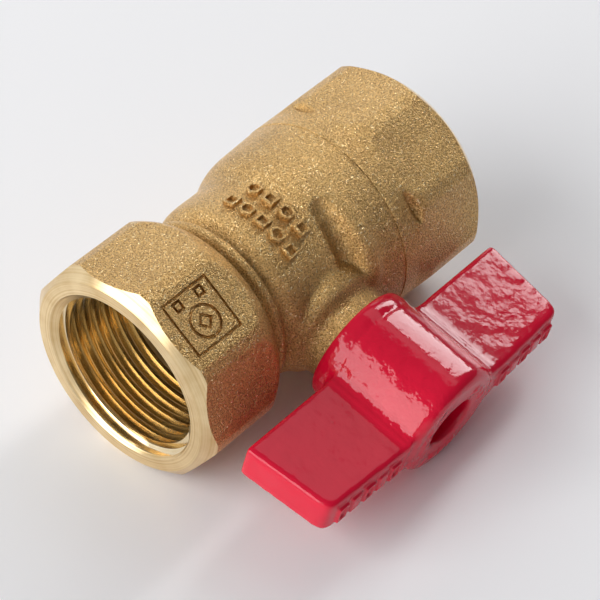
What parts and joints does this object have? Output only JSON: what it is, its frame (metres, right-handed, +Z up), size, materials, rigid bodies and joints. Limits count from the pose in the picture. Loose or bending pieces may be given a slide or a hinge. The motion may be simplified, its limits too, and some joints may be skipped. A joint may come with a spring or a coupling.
{
  "type": "ball valve",
  "caption": "Lying two-piece brass ball valve with female pipe threads, octagonal wrench ends and a red tee handle that turns a quarter turn to shut off the line.",
  "frame": {"origin": "on the surface the valve lies on, below the middle of its bounding box", "axes": "+X along the flow axis from the forged body's end to the end cap's end, +Z up from the surface, and the stem and handle point to -Y, tipped 13 degrees below level"},
  "size_m": [0.059, 0.0532, 0.0334],
  "materials": {
    "forged_brass": "shot-blasted forging with turned end faces",
    "ptfe": "waxy white PTFE",
    "ball_chrome": "polished chrome plate over brass",
    "turned_brass": "turned bar",
    "black_rubber": "smooth black nitrile",
    "red_enamel": "thick glossy enamel on a die casting",
    "zinc_steel": "bright zinc plate"
  },
  "bodies": {
    "valve_body": {"body": "forged_brass", "end_cap": "forged_brass", "seat_front": "ptfe", "seat_rear": "ptfe"},
    "handle_and_stem": {"handle": "red_enamel", "stem": "turned_brass", "thrust_washer": "ptfe", "stem_oring_lower": "black_rubber", "stem_oring_upper": "black_rubber", "lock_washer": "zinc_steel", "handle_screw": "zinc_steel"},
    "ball": {"ball": "ball_chrome"}
  },
  "joints": [
    {"name": "handle_turn", "type": "hinge", "parent": "valve_body", "child": "handle_and_stem", "pos_m": [0, 0.00988, 0.0167], "axis": [0, -0.9742, -0.2258], "range_deg": [-90, 0]},
    {"name": "ball_turn", "type": "hinge", "parent": "valve_body", "child": "ball", "pos_m": [0, 0.00988, 0.0167], "axis": [0, -0.9742, -0.2258], "range_deg": [-90, 0]}
  ],
  "couplings": [
    {"joint": "ball_turn", "follows": "handle_turn", "ratio": 1}
  ]
}
